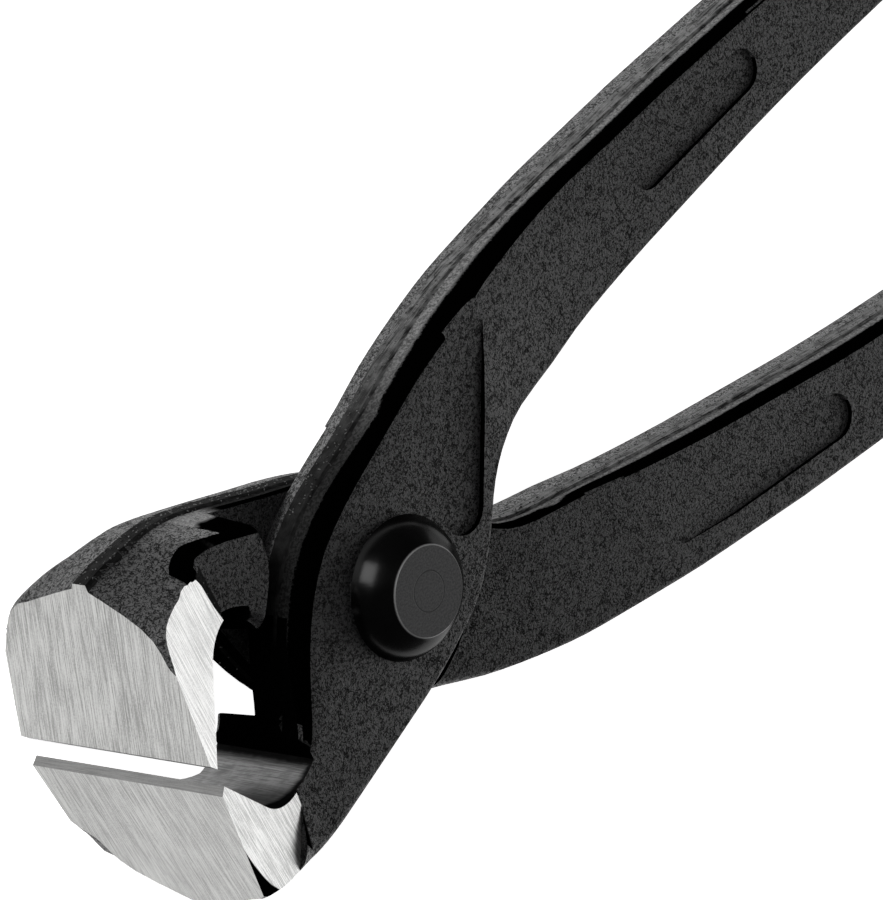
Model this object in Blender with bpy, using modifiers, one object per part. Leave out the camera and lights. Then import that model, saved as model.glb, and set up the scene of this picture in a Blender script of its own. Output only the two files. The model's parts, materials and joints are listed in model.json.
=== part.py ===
# Rebar tying nippers: two forged halves that cross in a lap joint, and the rivet they turn on.
# Lengths are in metres. X runs from the cutting edges to the handle ends, Z is the joint axis,
# and the tool lies on its side with its lowest point at Z = 0.
import math

import bmesh
import bpy
from mathutils import Matrix, Vector

for thing in list(bpy.data.objects):
    bpy.data.objects.remove(thing, do_unlink=True)

# Driving sizes of the whole tool
overall_length = 0.2800
edge_reach = 0.0323
jaw_width = 0.0264
edge_gap = 0.0019
leaf_thickness = 0.0071
handle_thickness = 0.0078
lobe_depth = 0.0063
running_gap = 0.0003

# The jaws as ground and milled
face_lean = math.radians(11.0)
edge_bevel_depth = 0.0007
edge_bevel_run = 0.0007
mouth_radius_share = 0.207
mouth_centre_x_share = -0.656
mouth_centre_y_share = -0.099
mouth_start_angle = 222
mouth_end_angle = 308
near_grind_back_angle = math.radians(18.8)
near_grind_down_angle = math.radians(10.2)
far_grind_back_angle = math.radians(14.6)
far_grind_down_angle = math.radians(0.0)

# The rivet
rivet_shank_radius = 0.0040
rivet_head_radius = 0.00705
rivet_flat_radius = 0.0045
rivet_head_height = 0.0034
rivet_edge_radius = 0.0004

# Edges left by the forging dies
handle_edge_radius = 0.0007
full_rounding_share = 0.34
plain_draft_angle = math.radians(4.0)
leaf_side_roof_angle = math.radians(15.6)
open_side_roof_angle = math.radians(22.3)
parting_rise_share = 0.42
strip_half_width = 0.0011
strip_height = 0.00022
forging_stock = 0.0012

# The bed milled for the other half's leaf
bed_radius_share = 0.474
bed_start_angle = -62
bed_end_angle = 88

# Sunk panels
panel_depth = 0.0005
leaf_panel_depth = 0.0006
leaf_panel_width = 0.0054
short_panel_width = 0.0045
long_panel_width = 0.0048

# Lengths that only serve the cuts
cut_overrun = 0.0200
step_clearance = 0.00005
weld_distance = 0.000005

# Sizes that follow from the driving sizes
face_reach = edge_reach + edge_bevel_run
handle_reach = overall_length - face_reach
half_gap = running_gap / 2
handle_level = handle_thickness / 2
jaw_level = jaw_width / 2 + forging_stock
parting_rise = leaf_thickness * parting_rise_share
mouth_radius = edge_reach * mouth_radius_share
mouth_centre_x = edge_reach * mouth_centre_x_share
mouth_centre_y = edge_reach * mouth_centre_y_share
bed_radius = edge_reach * bed_radius_share
plain_draft = math.tan(plain_draft_angle)
leaf_side_roof_draft = math.tan(leaf_side_roof_angle)
open_side_roof_draft = math.tan(open_side_roof_angle)
near_grind = (math.tan(near_grind_back_angle), math.tan(near_grind_down_angle))
far_grind = (math.tan(far_grind_back_angle), math.tan(far_grind_down_angle))
edge_height = edge_gap / 2
pivot_x = -(handle_reach - face_reach) / 2
pivot_z = jaw_width / 2
hole_radius = rivet_shank_radius + running_gap
rivet_seat = leaf_thickness + running_gap

# Stations of the forging from the jaw's edge to the throat, as shares of the edge reach in plan:
# front and upper contour x, y, then lower and inner contour x, y. After them come the level of the
# leaf side and of the open side (1 jaw, 0 leaf or lobe, -1 handle, past that thinner still), how
# far the parting line has risen to the leaf, how much of the jaw's roof slope the lower contour's
# wall has above the parting line and below it, and how much of the full rounding either contour has.
head_station_shares = (
    (-0.824, 0.043, -1.096, 0.043, 1, 1, 0, 0, 0, 0.1, 0.6),
    (-0.814, -0.050, -1.096, -0.099, 1, 1, 0, 0.1, 0, 0.1, 0.6),
    (-0.799, -0.118, -1.084, -0.248, 1, 1, 0, 0.3, 0.3, 0.1, 0.7),
    (-0.780, -0.173, -1.059, -0.390, 0.9, 1, 0, 0.8, 0.8, 0.1, 1),
    (-0.752, -0.211, -1.003, -0.520, 0.75, 1, 0, 1, 0.96, 0.1, 1),
    (-0.706, -0.229, -0.885, -0.560, 0.6, 0.93, 0, 0.9, 1.03, 0.1, 1.05),
    (-0.659, -0.232, -0.768, -0.573, 0.3, 0.3, 0, 0.6, 1.2, 0.1, 1.05),
    (-0.616, -0.229, -0.656, -0.567, 0, 0, 0.2, 0.3, 0.35, 0.1, 0.45),
    (-0.573, -0.220, -0.539, -0.536, 0, 0, 0.6, 0.3, 0.15, 0.29, 0.2),
    (-0.536, -0.192, -0.409, -0.489, 0, 0, 0.9, 0.2, 0.1, 0.28, 0.15),
    (-0.508, -0.130, -0.285, -0.443, 0, 0, 1, 0.1, 0.1, 0.31, 0.08),
    (-0.474, -0.031, -0.161, -0.396, 0, -0.4, 1, 0, 0, 0.32, 0),
    (-0.430, 0.077, -0.050, -0.359, 0, -1.2, 1, 0, 0, 0.33, 0),
    (-0.356, 0.195, 0.062, -0.316, 0, -2, 1, 0, 0, 0.29, 0),
    (-0.251, 0.300, 0.161, -0.269, 0, -2.2, 1, 0, 0, 0.25, 0),
    (-0.118, 0.378, 0.257, -0.214, 0, -2.2, 1, 0, 0, 0.23, 0),
    (0.037, 0.437, 0.334, -0.142, 0, -2.2, 1, 0, 0, 0.15, 0),
    (0.186, 0.492, 0.399, -0.056, 0, -2.2, 0.9, 0, 0, 0.09, 0),
    (0.325, 0.545, 0.452, 0.028, 0, -2.1, 0.75, 0, 0, 0.05, 0),
    (0.464, 0.585, 0.508, 0.099, 0, -2, 0.55, 0, 0, 0, 0),
    (0.594, 0.616, 0.582, 0.155, -0.06, -1.85, 0.38, 0, 0, 0, 0),
    (0.724, 0.641, 0.693, 0.189, -0.33, -1.7, 0.22, 0, 0, 0, 0),
)

# Stations of the handle: x as a share of the handle reach, outer and inner contour y as shares of
# the edge reach, the levels of both sides as above, and the share of the full section left as the
# end rounds off.
handle_station_shares = (
    (0.1154, 0.659, 0.217, -0.64, -1.5, 1),
    (0.1356, 0.675, 0.248, -0.86, -1.3, 1),
    (0.1579, 0.693, 0.279, -0.97, -1.15, 1),
    (0.1862, 0.709, 0.316, -1, -1.04, 1),
    (0.2186, 0.731, 0.353, -1, -1, 1),
    (0.2551, 0.749, 0.396, -1, -1, 1),
    (0.2955, 0.765, 0.433, -1, -1, 1),
    (0.3441, 0.777, 0.467, -1, -1, 1),
    (0.4049, 0.796, 0.498, -1, -1, 1),
    (0.4858, 0.820, 0.533, -1, -1, 1),
    (0.5870, 0.851, 0.570, -1, -1, 1),
    (0.6964, 0.885, 0.604, -1, -1, 1),
    (0.8097, 0.916, 0.635, -1, -1, 1),
    (0.9109, 0.938, 0.653, -1, -1, 1),
    (0.9636, 0.944, 0.659, -1, -1, 1),
    (0.9818, 0.938, 0.669, -1, -1, 0.94),
    (0.9939, 0.907, 0.700, -1, -1, 0.78),
    (1.0000, 0.864, 0.743, -1, -1, 0.5),
)

# The open side's lobe behind the jaw, as shares of the edge reach: the bed ends along this line.
lobe_edge_shares = (
    (-0.533, -0.062),
    (-0.505, -0.167),
    (-0.471, -0.223),
    (-0.424, -0.291),
    (-0.402, -0.353),
    (-0.399, -0.421),
    (-0.402, -0.502),
    (-0.409, -0.635),
)

# Centre lines of the sunk panels, as shares of the edge reach
leaf_panel_shares = ((0.319, 0.079), (0.605, 0.622))
short_panel_shares = ((1.517, 0.539), (1.997, 0.598))
long_panel_shares = ((0.576, 0.401), (0.929, 0.474), (1.393, 0.533), (1.889, 0.567))

# How finely the round forms are cut
jaw_rows = 11
jaw_steps = 4
handle_steps = 2
lobe_steps = 3
corner_steps = 5
panel_end_steps = 10
mouth_steps = 20
bed_steps = 20
rivet_steps = 48
flank_steps = 5
sharp_angle = math.radians(24.0)


def mix(low, high, share):
    """The value a share of the way from low to high."""
    return low + (high - low) * share


def tool_collection(name):
    """A new collection in the scene."""
    group = bpy.data.collections.new(name)
    bpy.context.scene.collection.children.link(group)
    return group


product = tool_collection("rebar_tying_nippers")
cutters = tool_collection("cutters")


def make_material(name, colour, roughness, metallic):
    """A plain surface of one colour."""
    surface = bpy.data.materials.new(name)
    surface.use_nodes = True
    shader = surface.node_tree.nodes["Principled BSDF"]
    shader.inputs["Base Color"].default_value = (*colour, 1.0)
    shader.inputs["Roughness"].default_value = roughness
    shader.inputs["Metallic"].default_value = metallic
    return surface


def object_from(name, mesh, group):
    """An object that shows a mesh, linked to a collection."""
    thing = bpy.data.objects.new(name, mesh)
    group.objects.link(thing)
    return thing


def mesh_from_bmesh(name, form):
    """A mesh with its faces turned outward."""
    bmesh.ops.recalc_face_normals(form, faces=form.faces)
    mesh = bpy.data.meshes.new(name)
    form.to_mesh(mesh)
    form.free()
    return mesh


def plate(name, outline, low, high):
    """A flat plate cut to a closed outline in plan, between two heights."""
    curve = bpy.data.curves.new(name + "_curve", "CURVE")
    curve.dimensions = "2D"
    curve.fill_mode = "BOTH"
    curve.extrude = (high - low) / 2
    spline = curve.splines.new("POLY")
    spline.points.add(len(outline) - 1)
    for point, place in zip(spline.points, outline):
        point.co = (place[0], place[1], 0.0, 1.0)
    spline.use_cyclic_u = True
    holder = object_from(name + "_outline", curve, cutters)
    bpy.context.view_layer.update()
    ready = holder.evaluated_get(bpy.context.evaluated_depsgraph_get())
    mesh = bpy.data.meshes.new_from_object(ready)
    bpy.data.objects.remove(holder, do_unlink=True)
    form = bmesh.new()
    form.from_mesh(mesh)
    bmesh.ops.remove_doubles(form, verts=form.verts, dist=weld_distance)
    bmesh.ops.translate(form, verts=form.verts, vec=Vector((0.0, 0.0, (low + high) / 2)))
    return mesh_from_bmesh(name, form)


def rounded_path(points, steps):
    """A smooth run through the points, with a number of steps given for each stretch between two."""
    run = []
    last = len(points) - 1
    for index, count in enumerate(steps):
        before = points[max(index - 1, 0)]
        start = points[index]
        end = points[index + 1]
        after = points[min(index + 2, last)]
        for step in range(count):
            t = step / count
            run.append(
                (start * 2 + (end - before) * t
                 + (before * 2 - start * 5 + end * 4 - after) * t * t
                 + (start * 3 - before - end * 3 + after) * t * t * t) / 2
            )
    run.append(points[last])
    return run


def arc(centre, radius, start, end, steps):
    """Points along a circle in plan, from one angle to another in degrees."""
    turn = [math.radians(mix(start, end, step / steps)) for step in range(steps + 1)]
    return [(centre[0] + radius * math.cos(a), centre[1] + radius * math.sin(a)) for a in turn]


def slot_outline(line, width, steps):
    """The outline of a round-ended slot around a centre line."""
    path = [Vector(point) for point in line]
    ahead = (path[1] - path[0]).normalized()
    behind = (path[-1] - path[-2]).normalized()
    left = []
    right = []
    for index, place in enumerate(path):
        run = (path[min(index + 1, len(path) - 1)] - path[max(index - 1, 0)]).normalized()
        side = Vector((-run.y, run.x)) * width / 2
        left.append(tuple(place + side))
        right.append(tuple(place - side))
    start = math.degrees(math.atan2(ahead.y, ahead.x))
    end = math.degrees(math.atan2(behind.y, behind.x))
    far_cap = arc(path[-1], width / 2, end - 90, end + 90, steps)
    near_cap = arc(path[0], width / 2, start + 90, start + 270, steps)
    return right[:-1] + far_cap + left[-2:0:-1] + near_cap[:-1]


def station_list():
    """Every station of the forging with its sizes in metres."""
    stations = []
    for row in head_station_shares:
        upper = Vector(row[0:2]) * edge_reach
        lower = Vector(row[2:4]) * edge_reach
        stations.append((upper, lower, *row[4:], 1.0))
    for x_share, outer_share, inner_share, top, bottom, end_share in handle_station_shares:
        upper = Vector((x_share * handle_reach, outer_share * edge_reach))
        lower = Vector((x_share * handle_reach, inner_share * edge_reach))
        stations.append((upper, lower, top, bottom, 0.0, 0.0, 0.0, 0.0, 0.0, end_share))
    return stations


def level_height(level, middle):
    """The half height that a station's level stands for."""
    if level < 0:
        return mix(middle, handle_level, -level)
    return mix(middle, jaw_level, level)


def fine_stations():
    """The stations with every size run smoothly between its rows, and never past either of them."""
    rows = station_list()
    stretches = len(rows) - 1
    steps = [jaw_steps if index < jaw_rows else handle_steps for index in range(stretches)]
    owners = [index for index, count in enumerate(steps) for step in range(count)]
    uppers = rounded_path([row[0] for row in rows], steps)
    lowers = rounded_path([row[1] for row in rows], steps)
    sizes = rounded_path([Vector(row[2:]) for row in rows], steps)
    fine = []
    for index, upper, lower, run in zip(owners + [stretches - 1], uppers, lowers, sizes):
        ends = zip(run, rows[index][2:], rows[index + 1][2:])
        rest = [min(max(size, min(one, two)), max(one, two)) for size, one, two in ends]
        fine.append((upper, lower, *rest))
    return fine


def section_points(station):
    """One closed section of the forging, around from its upper contour."""
    upper, lower, top, bottom, rise, roof_above, roof_below, *rounding, end_share = station
    across = (lower - upper).normalized()
    high = level_height(top, leaf_thickness) * end_share
    low = -level_height(bottom, lobe_depth) * end_share
    parting = parting_rise * rise
    strip = strip_half_width * end_share
    proud = strip_height * end_share
    above_drafts = (plain_draft, mix(plain_draft, leaf_side_roof_draft, roof_above))
    below_drafts = (plain_draft, mix(plain_draft, open_side_roof_draft, roof_below))
    full_radius = (lower - upper).length * full_rounding_share
    radii = [mix(handle_edge_radius, full_radius, share) * end_share for share in rounding]

    def contour(side):
        """The wall of one side from top to bottom as inset and height."""
        above = above_drafts[side]
        below = below_drafts[side]
        radius = radii[side]
        wall = []
        for step in range(corner_steps + 1):
            angle = math.radians(mix(90, 0, step / corner_steps))
            height = high - radius
            inset = above * max(height - parting, 0.0) + radius
            wall.append((inset - radius * math.cos(angle), height + radius * math.sin(angle)))
        wall.append((above * strip, parting + strip))
        wall.append((-proud, parting + strip - proud))
        wall.append((-proud, parting - strip + proud))
        wall.append((below * strip, parting - strip))
        for step in range(corner_steps + 1):
            angle = math.radians(mix(0, -90, step / corner_steps))
            height = low + radius
            inset = below * max(parting - height, 0.0) + radius
            wall.append((inset - radius * math.cos(angle), height + radius * math.sin(angle)))
        return wall

    points = []
    for inset, height in reversed(contour(0)):
        place = upper + across * inset
        points.append((place.x, place.y, height))
    for inset, height in contour(1):
        place = lower - across * inset
        points.append((place.x, place.y, height))
    return points


def forging_mesh(name):
    """The forged half before any machining: sections joined from the jaw to the handle's end."""
    form = bmesh.new()
    rings = []
    for station in fine_stations():
        rings.append([form.verts.new(place) for place in section_points(station)])
    count = len(rings[0])
    for ring, following in zip(rings, rings[1:]):
        for index in range(count):
            after = (index + 1) % count
            form.faces.new((ring[index], ring[after], following[after], following[index]))
    form.faces.new(rings[0])
    form.faces.new(list(reversed(rings[-1])))
    return mesh_from_bmesh(name, form)


def bed_outline():
    """Plan of the bed that takes the other half's leaf, open towards the mouth and outward."""
    outline = arc((0.0, 0.0), bed_radius, bed_start_angle, bed_end_angle, bed_steps)
    reach = bed_radius + cut_overrun
    outline.append((outline[-1][0], reach))
    outline.append((-cut_overrun, reach))
    lobe = [Vector(shares) * edge_reach for shares in lobe_edge_shares]
    steps = [lobe_steps] * (len(lobe) - 1)
    outline.extend(tuple(place) for place in rounded_path(lobe, steps))
    outline.append((lobe[-1].x, -reach))
    outline.append((bed_radius, -reach))
    return outline


def mouth_outline():
    """Plan of the space milled between the jaws, from the cutting edge to the leaf."""
    centre = (mouth_centre_x, mouth_centre_y)
    hollow = arc(centre, mouth_radius, mouth_start_angle, mouth_end_angle, mouth_steps)
    tip = Vector((-edge_reach, -edge_height))
    past_tip = tip + (tip - Vector(hollow[0])).normalized() * forging_stock
    right = hollow[-1][0] - half_gap
    top = mouth_radius
    outline = [tuple(past_tip)] + hollow
    outline.extend([(right, -mouth_radius / 2), (right, top), (past_tip.x, top)])
    return outline


def grind_plate(name, corner, back_slope, down_slope):
    """A wedge that grinds one side of the jaw down to the leaf's level, leaving a sloping face."""
    slope = math.hypot(back_slope, down_slope)
    run = (jaw_width / 2 - leaf_thickness - step_clearance) / slope
    rise = slope * (run + cut_overrun)
    level = leaf_thickness + step_clearance
    profile = [(0.0, level), (-run - cut_overrun, level + rise), (0.0, level + rise)]
    mesh = plate(name, profile, -cut_overrun * 2, cut_overrun * 2)
    heading = math.atan2(-down_slope, back_slope)
    turn = Matrix.Rotation(heading, 4, "Z") @ Matrix.Rotation(math.radians(90), 4, "X")
    start = Vector((corner[0], corner[1], 0.0))
    offset = Vector((math.cos(heading), math.sin(heading), 0.0)) * run
    mesh.transform(Matrix.Translation(start + offset) @ turn)
    return mesh


def mirrored(mesh):
    """The same cutter for the other side of the tool."""
    mesh.transform(Matrix.Scale(-1, 4, Vector((0.0, 0.0, 1.0))))
    mesh.flip_normals()
    return mesh


def block(name, corner, direction, length, depth):
    """A block whose face starts at a corner in plan, runs along a direction and cuts to its left."""
    along = Vector(direction).normalized()
    left = Vector((-along.y, along.x))
    start = Vector(corner) - along * length
    end = Vector(corner) + along * length
    outline = [tuple(start), tuple(end), tuple(end + left * depth), tuple(start + left * depth)]
    return plate(name, outline, -cut_overrun, cut_overrun)


def half_cutters(label, leaf_grind, open_grind):
    """Every cut of one half, as meshes in the half's own frame."""
    tip = Vector((-edge_reach, -edge_height))
    corner = Vector((-face_reach, -edge_height - edge_bevel_depth))
    face_run = (-math.sin(face_lean), math.cos(face_lean))
    cuts = {
        "face": block(label + "_face", corner, face_run, cut_overrun * 2, cut_overrun),
        "leaf_grind": grind_plate(label + "_leaf_grind", corner, *leaf_grind),
        "open_grind": mirrored(grind_plate(label + "_open_grind", corner, *open_grind)),
        "bevel": block(label + "_bevel", tip, tip - corner, mouth_radius, mouth_radius),
        "mouth": plate(label + "_mouth", mouth_outline(), -cut_overrun, cut_overrun),
        "bed": plate(label + "_bed", bed_outline(), -cut_overrun, half_gap),
    }
    circle = arc((0.0, 0.0), hole_radius, 0, 360, rivet_steps)[:-1]
    cuts["hole"] = plate(label + "_hole", circle, -cut_overrun, cut_overrun)
    leaf_floor = leaf_thickness - leaf_panel_depth
    handle_floor = handle_level - panel_depth
    panels = (
        ("leaf_panel", leaf_panel_shares, leaf_panel_width, leaf_floor, leaf_floor + handle_level),
        ("short_panel", short_panel_shares, short_panel_width, handle_floor, leaf_thickness),
        ("long_panel", long_panel_shares, long_panel_width, -leaf_thickness, -handle_floor),
    )
    for name, shares, width, low, high in panels:
        line = [tuple(Vector(point) * edge_reach) for point in shares]
        cuts[name] = plate(label + "_" + name, slot_outline(line, width, panel_end_steps), low, high)
    return cuts


def make_half(name, turn, leaf_grind, open_grind, surface):
    """One forged and machined half, turned about the tool's long axis by the given angle."""
    half = object_from(name, forging_mesh(name), product)
    half.parent = pivot
    half.rotation_euler = (turn, 0.0, 0.0)
    half.data.materials.append(surface)
    for label, mesh in half_cutters(name, leaf_grind, open_grind).items():
        cutter = object_from(name + "_cut_" + label, mesh, cutters)
        cutter.parent = pivot
        cutter.rotation_euler = (turn, 0.0, 0.0)
        cutter.hide_render = True
        cutter.display_type = "WIRE"
        cut = half.modifiers.new(label, "BOOLEAN")
        cut.operation = "DIFFERENCE"
        cut.solver = "EXACT"
        cut.object = cutter
    return half


def make_rivet(name, surface):
    """The joint rivet: a turned shank with a flat-topped cone of a head at each end."""
    seat = rivet_seat
    top = rivet_seat + rivet_head_height
    half_profile = [(rivet_shank_radius, seat), (rivet_head_radius, seat)]
    for step in range(1, flank_steps + 1):
        share = step / flank_steps
        swell = rivet_edge_radius * math.sin(math.pi * share)
        radius = mix(rivet_head_radius, rivet_flat_radius, share) + swell
        half_profile.append((radius, mix(seat, top - rivet_edge_radius, share)))
    half_profile.append((rivet_flat_radius - rivet_edge_radius, top))
    half_profile.append((0.0, top))
    profile = list(reversed(half_profile)) + [(radius, -height) for radius, height in half_profile]
    form = bmesh.new()
    places = [form.verts.new((radius, 0.0, height)) for radius, height in profile]
    for one, two in zip(places, places[1:]):
        form.edges.new((one, two))
    mesh = bpy.data.meshes.new(name)
    form.to_mesh(mesh)
    form.free()
    rivet = object_from(name, mesh, product)
    rivet.parent = pivot
    spin = rivet.modifiers.new("turned", "SCREW")
    spin.axis = "Z"
    spin.steps = rivet_steps
    spin.render_steps = rivet_steps
    spin.use_merge_vertices = True
    spin.merge_threshold = weld_distance
    rivet.data.materials.append(surface)
    return rivet


pivot = bpy.data.objects.new("joint_axis", None)
pivot.location = (pivot_x, 0.0, pivot_z)
product.objects.link(pivot)

forged_steel = make_material("forged_steel_upper", (0.022, 0.022, 0.024), 0.42, 0.65)
forged_steel_lower = make_material("forged_steel_lower", (0.022, 0.022, 0.024), 0.42, 0.65)
rivet_steel = make_material("rivet_steel", (0.030, 0.030, 0.032), 0.30, 0.70)

halves = [
    make_half("upper_leaf_half", 0.0, near_grind, far_grind, forged_steel),
    make_half("lower_leaf_half", math.pi, far_grind, near_grind, forged_steel_lower),
]
joint_rivet = make_rivet("joint_rivet", rivet_steel)

# Smooth shading with the machined edges kept sharp
bpy.context.view_layer.update()
for thing in halves + [joint_rivet]:
    for face in thing.data.polygons:
        face.use_smooth = True
    thing.data.set_sharp_from_angle(angle=sharp_angle)
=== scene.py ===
# %% [markdown]
# # Tying nippers for rebar: finishing a forged hand tool
#
# The solids of this tool are already made: two forged halves and the rivet they turn on. This
# lesson gives them the look of the real thing. A black forging skin covered with fine hair cracks
# lies on most of it. The jaws are ground bright, the mouth between them is milled, and a rough
# strip runs around every edge, where the flash of the forging was trimmed off.

# %% Load the solids
import json
import math

import bmesh
import bpy
from mathutils import Matrix, Vector
from mathutils.kdtree import KDTree


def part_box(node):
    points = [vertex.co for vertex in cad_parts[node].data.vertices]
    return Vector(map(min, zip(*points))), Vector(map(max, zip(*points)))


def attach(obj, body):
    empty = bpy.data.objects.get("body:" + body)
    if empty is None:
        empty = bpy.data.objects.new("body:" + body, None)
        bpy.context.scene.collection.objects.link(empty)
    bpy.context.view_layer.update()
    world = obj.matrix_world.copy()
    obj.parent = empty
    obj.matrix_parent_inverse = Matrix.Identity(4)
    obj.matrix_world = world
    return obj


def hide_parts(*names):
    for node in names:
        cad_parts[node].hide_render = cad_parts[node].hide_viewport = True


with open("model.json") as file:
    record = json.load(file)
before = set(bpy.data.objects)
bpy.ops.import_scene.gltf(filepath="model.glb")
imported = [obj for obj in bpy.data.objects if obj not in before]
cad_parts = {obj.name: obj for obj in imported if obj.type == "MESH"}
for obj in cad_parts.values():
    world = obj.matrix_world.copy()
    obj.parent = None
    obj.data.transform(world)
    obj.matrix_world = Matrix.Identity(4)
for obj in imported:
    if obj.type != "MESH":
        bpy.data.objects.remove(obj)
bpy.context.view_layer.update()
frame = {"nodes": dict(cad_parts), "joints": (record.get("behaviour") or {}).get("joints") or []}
joint = frame["joints"][0]
pivot = Vector(joint["pos_m"])
print("joint at", [round(place, 4) for place in pivot], "solids", sorted(frame["nodes"]))

# %% [markdown]
# ## Sizes taken from the solids
#
# Everything below is placed from a few sizes that are read off the solids, so the finish stays
# where it belongs when the tool changes: how far the jaws reach in front of the joint, how wide the
# cutting edge is, how high the flat leaf lies above the joint's middle, and where the jaws begin.
# Places in front of the joint have a minus sign.

# %% Sizes of the head
low_corner, high_corner = (Vector(corner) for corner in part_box("upper_leaf_half"))
jaw_width = high_corner.z - low_corner.z
head_reach = pivot.x - low_corner.x
leaf_level = jaw_width * 0.269
jaw_start = -head_reach * 0.5
print("head reaches", round(head_reach, 4), "jaws are", round(jaw_width, 4), "wide")

# %% [markdown]
# ## A worked copy of each half
#
# The packed solid is a loose set of triangles and is never changed. A finish needs smooth shading
# and several materials on one piece, so each half gets a copy whose triangles are joined and whose
# flat areas are one face each. The copy stands for the solid in the picture.

# %% Copy a solid and join its triangles
merge_distance = 0.000002
flat_angle = math.radians(0.6)


def in_scene(name, data):
    """A new object in the scene that holds a mesh, a lamp or a camera."""
    holder = bpy.data.objects.new(name, data)
    bpy.context.scene.collection.objects.link(holder)
    return holder


def worked_copy(node, name):
    """A joined copy of a solid with its flat areas as single faces."""
    form = bmesh.new()
    form.from_mesh(frame["nodes"][node].data)
    bmesh.ops.remove_doubles(form, verts=form.verts, dist=merge_distance)
    bmesh.ops.dissolve_limit(form, angle_limit=flat_angle, verts=form.verts, edges=form.edges)
    form.verts.index_update()
    places = [vertex.co[:] for vertex in form.verts]
    faces = [[vertex.index for vertex in face.verts] for face in form.faces]
    form.free()
    mesh = bpy.data.meshes.new(name)
    mesh.from_pydata(places, [], faces)
    print(name, "has", len(faces), "faces")
    return in_scene(name, mesh)


halves = {
    "upper": worked_copy("upper_leaf_half", "upper_half_finished"),
    "lower": worked_copy("lower_leaf_half", "lower_half_finished"),
}

# %% [markdown]
# ## Telling the surfaces apart
#
# On the real tool the way each surface was made decides how it looks, and the same tests find them
# here. A ground face is broad, lies at the jaws and has the tilt of the belt that made it. A milled
# face stands upright on the circle of the mouth or on the flat slope that runs into it. The hollow
# behind the cutting edges gets a painted shade of dull black, the slopes under the leaf and along
# the roof of the jaws get painted shade, and everything else has its rough forging skin.
#
# The lower half is the upper one turned over, so its faces are turned back before most tests.

# %% Judge a face by how it lies
SKIN, FRONT, SIDE, BEVEL, MILLED, STRIP, SHADE, LOW, HOLLOW = range(9)
ground_area = (jaw_width * 0.12) ** 2
leaf_area = ground_area * 4
tilts = {
    FRONT: (Vector((-0.982, -0.191, 0.0)),),
    SIDE: (Vector((0.318, -0.168, 0.933)), Vector((0.252, 0.0, -0.968)),
           Vector((0.318, -0.168, -0.933)), Vector((0.252, 0.0, 0.968))),
    BEVEL: (Vector((-0.707, 0.707, 0.0)),),
}
tilt_match = 0.9995
mouth_centre = Vector((-0.645, -0.097)) * head_reach
mouth_radius = head_reach * 0.2027
mouth_play = 0.05
mouth_slope = Vector((0.738, 0.675, 0.0))
slope_match = 0.999
mill_facing = 0.73
window_start, window_end = jaw_start * 1.3, jaw_start * 0.78
window_facing, window_lean = -0.6, 0.3
away_facing = -0.2
upright_lean, roof_lean, flat_lean = 0.02, 0.42, 0.9
roof_start = jaw_start * 1.44


def turned_back(way, turn):
    """A place or direction of a half as it would lie on the upper half."""
    return Vector((way.x, way.y * turn, way.z * turn))


def surface_kind(face, turn):
    """What made this face, judged from how it lies on its half."""
    place = turned_back(face.center - pivot, turn)
    normal = turned_back(face.normal, turn)
    if place.x < jaw_start and face.area > ground_area:
        for kind, directions in tilts.items():
            if max(normal.dot(tilt) for tilt in directions) > tilt_match:
                return kind
    off_circle = (Vector((place.x, place.y)) - mouth_centre).length / mouth_radius - 1
    in_mouth = abs(off_circle) < mouth_play or normal.dot(mouth_slope) > slope_match
    # Mouth faces that turn away from the mill, and the front wall in the window, get the hollow's
    # painted shade.
    if abs(normal.z) < upright_lean and in_mouth:
        return MILLED if normal.y > mill_facing else HOLLOW
    in_window = window_start < place.x < window_end and abs(normal.z) < window_lean
    if normal.x < window_facing and in_window:
        return HOLLOW
    if face.normal.y < away_facing or face.area > leaf_area:
        return SKIN
    lean = face.normal.z
    if place.x > jaw_start and upright_lean < lean < flat_lean:
        return SHADE
    if place.x > roof_start and roof_lean < lean < flat_lean:
        return SHADE
    return SKIN


print("a ground face is over", round(ground_area * 1e6, 1), "square millimetres")

# %% [markdown]
# The trimmed strip is the narrow upright band half way up the outer walls. It is found by its
# neighbours: a narrow slope above it that looks up, and another one below it that looks down. The
# walls above the strip get painted shade and sheen, and those below it a lighter skin that is a
# painted sheen.

# %% Find the trimmed strip
slope_width = jaw_width * 0.019
slope_lean = (0.5, 0.97)
band_lean = 0.25
below_lean = 0.5


def face_width(mesh, face):
    """How narrow a long face is: its area over half the length around it."""
    ends = [[mesh.vertices[index].co for index in key] for key in face.edge_keys]
    around = sum((first - second).length for first, second in ends)
    return face.area / (around / 2)


def strip_faces(mesh, neighbours):
    """The proud band of the strip with the narrow slopes beside it, and the walls under it."""
    slopes = {1: set(), -1: set()}
    for face in mesh.polygons:
        lean = face.normal.z
        if slope_lean[0] < abs(lean) < slope_lean[1] and face_width(mesh, face) < slope_width:
            slopes[1 if lean > 0 else -1].add(face.index)
    band = set()
    below = set()
    for face in mesh.polygons:
        beside = set().union(*(neighbours[key] for key in face.edge_keys))
        if abs(face.normal.z) < band_lean and beside & slopes[1] and beside & slopes[-1]:
            band.add(face.index)
            band |= beside & (slopes[1] | slopes[-1])
        elif abs(face.normal.z) < below_lean and beside & slopes[-1]:
            below.add(face.index)
    return band, below - band


def above_strip(face, strip_centres):
    """Whether a wall lies on the top side of the nearest piece of the strip."""
    place = face.center
    nearest = min(
        strip_centres, key=lambda centre: (centre.x - place.x) ** 2 + (centre.y - place.y) ** 2
    )
    return place.z > nearest.z


print("slopes beside the strip are under", round(slope_width * 1000, 2), "mm wide")
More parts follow.
